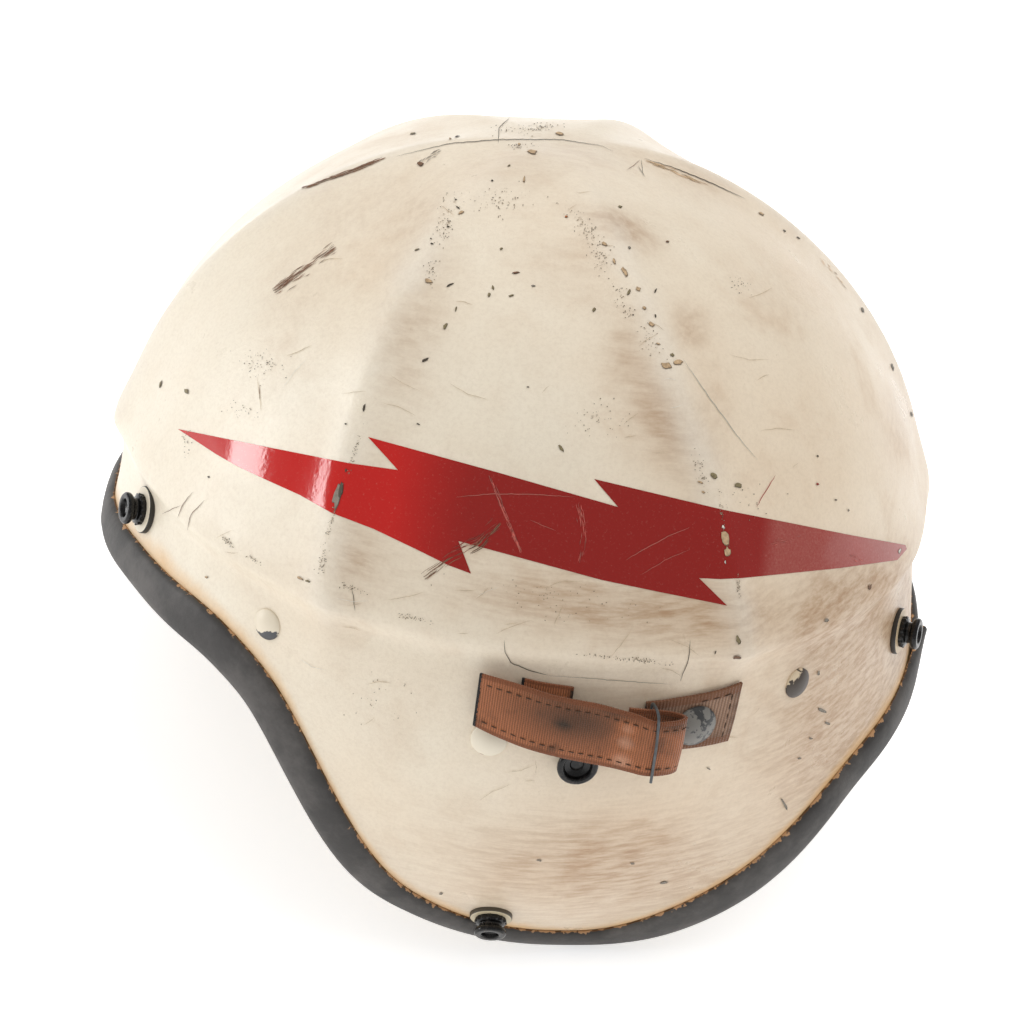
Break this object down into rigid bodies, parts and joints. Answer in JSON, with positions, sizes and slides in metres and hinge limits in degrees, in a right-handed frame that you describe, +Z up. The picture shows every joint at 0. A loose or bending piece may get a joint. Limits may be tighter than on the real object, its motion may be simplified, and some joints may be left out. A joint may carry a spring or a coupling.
{
  "type": "camera helmet",
  "caption": "Ribbed hard-shell helmet with a cream painted shell, a rubber edging, press studs at the ears and nape, and a riveted goggle strap at the back.",
  "frame": {"origin": "under the middle of the helmet's box, on the surface that it stands on", "axes": "+Z up as it stands on its rim, face towards -Y, nape towards +Y, the wearer's left towards +X"},
  "size_m": [0.2694, 0.2758, 0.2185],
  "materials": {
    "paint": "aged cream enamel over moulded fibreglass, half gloss, with a red ornament, chips and stains",
    "rubber": "matt grey-black rubber channel",
    "black_metal": "black lacquered pressed metal",
    "aged_metal": "metal plate overpainted in cream, worn at its edge",
    "rivet_paint": "cream enamel worn to dark metal",
    "rivet_metal": "dark dull domed head",
    "grosgrain": "ribbed copper-brown grosgrain",
    "webbing": "coarse worn brown webbing",
    "wire": "dull grey wire"
  },
  "bodies": {
    "root": {"shell": "paint", "edging": "rubber", "ear_stud_left_plate": "aged_metal", "ear_stud_left": "black_metal", "ear_stud_right_plate": "aged_metal", "ear_stud_right": "black_metal", "nape_stud_plate": "aged_metal", "nape_stud": "black_metal", "strap_stud": "black_metal", "shell_rivet_left": "rivet_paint", "shell_rivet_right": "rivet_paint", "nape_rivet": "rivet_paint", "strap_rivet": "rivet_metal", "strap_band": "grosgrain", "strap_tab": "grosgrain", "strap_patch": "webbing", "strap_pin": "wire"}
  },
  "joints": []
}
